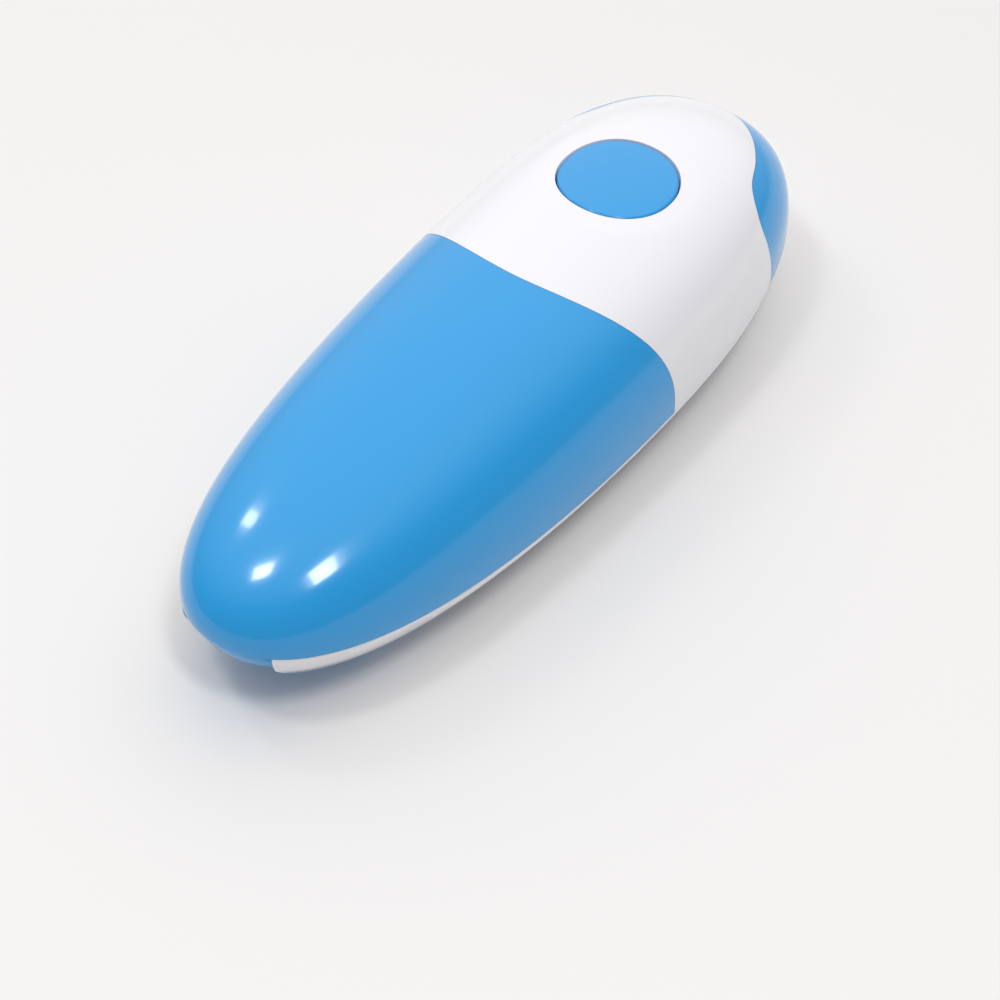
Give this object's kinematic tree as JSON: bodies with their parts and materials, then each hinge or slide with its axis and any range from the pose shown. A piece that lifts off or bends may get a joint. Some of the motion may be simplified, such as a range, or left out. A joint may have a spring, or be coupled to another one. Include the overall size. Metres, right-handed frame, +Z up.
{
  "type": "electric can opener",
  "caption": "Hands-free battery can opener: a long two-tone dome with a round button, a wheel and swinging cutter under the head, and a hinged battery door.",
  "frame": {"origin": "middle of the plan, on the plane that the cutter guard and the door's heel stand on", "axes": "+X towards the head, +Y to the left seen from behind, +Z up through the button"},
  "size_m": [0.1802, 0.0662, 0.04],
  "materials": {
    "white_plastic": "polished moulding",
    "blue_plastic": "polished moulding",
    "black_plastic": "fine moulded grain",
    "gear_nylon": "natural nylon",
    "plate_steel": "zinc plated",
    "hard_steel": "ground and hardened",
    "bright_metal": "nickel plated",
    "brass": "turned",
    "board": "circuit board lacquer",
    "cell_wrap": "printed sleeve, plain"
  },
  "bodies": {
    "housing": {"upper_housing": "white_plastic", "tail_cover": "blue_plastic", "front_cap": "blue_plastic", "lower_housing": "white_plastic", "third_axle": "hard_steel", "crown_axle": "hard_steel", "mechanism_plate": "plate_steel", "gearbox_cover": "black_plastic", "gearbox_posts": "plate_steel", "lower_bush": "brass", "upper_bush": "brass", "carrier_pivot": "hard_steel", "magnet_holder": "white_plastic", "lid_magnet": "bright_metal", "motor_can": "bright_metal", "motor_end_cap": "black_plastic", "motor_magnets": "hard_steel", "motor_bracket": "plate_steel", "motor_screws": "bright_metal", "switch_board": "board", "switch_body": "black_plastic", "button_spring": "bright_metal", "housing_screws": "bright_metal", "plate_screws": "bright_metal", "board_screws": "bright_metal", "battery_tray": "black_plastic", "battery_cell_left": "cell_wrap", "battery_cell_right": "cell_wrap", "contact_bridge": "bright_metal", "contact_front_left": "bright_metal", "contact_front_right": "bright_metal", "contact_coil_tail": "bright_metal", "contact_coil_front": "bright_metal"},
    "button": {"power_button": "blue_plastic"},
    "plunger": {"switch_plunger": "gear_nylon"},
    "door": {"battery_door": "blue_plastic"},
    "drive": {"drive_gear": "gear_nylon", "drive_shaft": "hard_steel", "drive_wheel": "hard_steel"},
    "third": {"third_gear": "gear_nylon"},
    "middle": {"middle_gear": "gear_nylon"},
    "crown": {"crown_gear": "gear_nylon"},
    "rotor": {"motor_rotor": "hard_steel", "motor_pinion": "brass"},
    "carrier": {"cutter_carrier": "plate_steel", "cutter_screw": "bright_metal", "carrier_spring": "bright_metal"},
    "cutter": {"cutter_wheel": "hard_steel"}
  },
  "joints": [
    {"name": "button_press", "type": "slide", "parent": "housing", "child": "button", "axis": [0, 0, -1], "range_m": [0, 0.0012], "stiffness_N_per_m": 400, "springref_m": -0.004, "deforming": ["button_spring"]},
    {"name": "plunger_press", "type": "slide", "parent": "housing", "child": "plunger", "axis": [0, 0, -1], "range_m": [0, 0.0012]},
    {"name": "door_hinge", "type": "hinge", "parent": "housing", "child": "door", "pos_m": [-0.0171, 0, 0.008], "axis": [0, -1, 0], "range_deg": [0, 75]},
    {"name": "drive_spin", "type": "hinge", "parent": "housing", "child": "drive", "pos_m": [0.0318, 0, 0.005], "axis": [0, 0, 1], "continuous": true},
    {"name": "third_spin", "type": "hinge", "parent": "housing", "child": "third", "pos_m": [0.04871, 0.00616, 0.018], "axis": [0, 0, 1], "continuous": true},
    {"name": "middle_spin", "type": "hinge", "parent": "housing", "child": "middle", "pos_m": [0.0318, 0, 0.021], "axis": [0, 0, 1], "continuous": true},
    {"name": "crown_spin", "type": "hinge", "parent": "housing", "child": "crown", "pos_m": [0.02492, -0.014, 0.018], "axis": [0, 0, 1], "continuous": true},
    {"name": "rotor_spin", "type": "hinge", "parent": "housing", "child": "rotor", "pos_m": [0.014, -0.014, 0.0218], "axis": [1, 0, 0], "continuous": true},
    {"name": "carrier_swing", "type": "hinge", "parent": "housing", "child": "carrier", "pos_m": [0.05, -0.013, 0.008], "axis": [0, 0, 1], "range_deg": [0, 19], "stiffness_Nm_per_rad": 0.05, "springref_deg": -20.05},
    {"name": "cutter_spin", "type": "hinge", "parent": "carrier", "child": "cutter", "pos_m": [0.0495, 0, 0.0057], "axis": [0, 0, 1], "continuous": true}
  ],
  "couplings": [
    {"joint": "plunger_press", "follows": "button_press", "ratio": 1},
    {"joint": "third_spin", "follows": "drive_spin", "ratio": -3},
    {"joint": "middle_spin", "follows": "drive_spin", "ratio": 12},
    {"joint": "crown_spin", "follows": "drive_spin", "ratio": -50.4},
    {"joint": "rotor_spin", "follows": "drive_spin", "ratio": 201.6}
  ]
}
